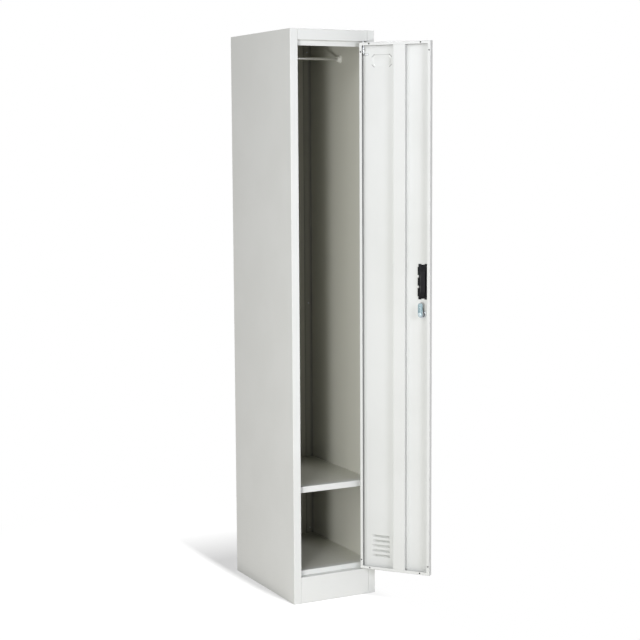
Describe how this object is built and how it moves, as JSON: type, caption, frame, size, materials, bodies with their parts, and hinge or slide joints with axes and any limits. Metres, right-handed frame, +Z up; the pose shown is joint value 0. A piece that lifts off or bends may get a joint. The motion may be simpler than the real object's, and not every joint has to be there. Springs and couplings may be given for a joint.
{
  "type": "steel locker",
  "caption": "Tall narrow sheet-steel locker with a full-height hinged door, hanging rail, low shelf, plinth, recessed pull and cam lock.",
  "frame": {"origin": "on the floor, at the middle of the plinth's turned-in foot, in the locker's centre plane", "axes": "+Z up; the front of the carcass faces -Y; +X is the hinge side"},
  "size_m": [0.4131, 0.6494, 1.85],
  "materials": {
    "paint": "satin powder coat",
    "zinc": "zinc plated",
    "rail_steel": "drawn, bright",
    "lock_chrome": "polished",
    "black_plastic": "fine grain",
    "socket_plastic": "satin"
  },
  "bodies": {
    "carcass": {"left_side_panel": "paint", "right_side_panel": "paint", "back_panel": "paint", "back_screws": "zinc", "top_panel": "paint", "plinth": "paint", "floor_panel": "paint", "shelf": "paint", "shelf_brackets": "paint", "rail_sockets": "socket_plastic", "hanging_rail": "rail_steel", "lower_hinge_pin": "zinc", "lower_hinge_washer": "socket_plastic"},
    "door": {"door_panel": "paint", "door_stiffener": "paint", "door_handle": "black_plastic", "lock_housing": "lock_chrome", "lock_nut": "zinc", "hinge_bracket": "paint", "hinge_spring": "zinc"},
    "lock": {"lock_plug": "lock_chrome", "lock_cam": "zinc", "cam_washer": "zinc", "cam_screw": "zinc"},
    "hinge_pin": {"upper_hinge_pin": "zinc", "hinge_pin_clip": "zinc"}
  },
  "joints": [
    {"name": "door_hinge", "type": "hinge", "parent": "carcass", "child": "door", "pos_m": [0.1125, -0.007, 0.925], "axis": [0, 0, 1], "range_deg": [-129, 3]},
    {"name": "lock_turn", "type": "hinge", "parent": "door", "child": "lock", "pos_m": [0.24382, -0.16123, 0.945], "axis": [0.7771, 0.6293, 0], "range_deg": [0, 90]},
    {"name": "hinge_pin_slide", "type": "slide", "parent": "door", "child": "hinge_pin", "axis": [0, 0, -1], "range_m": [0, 0.009], "stiffness_N_per_m": 300, "springref_m": -0.005, "deforming": ["hinge_spring"]}
  ]
}
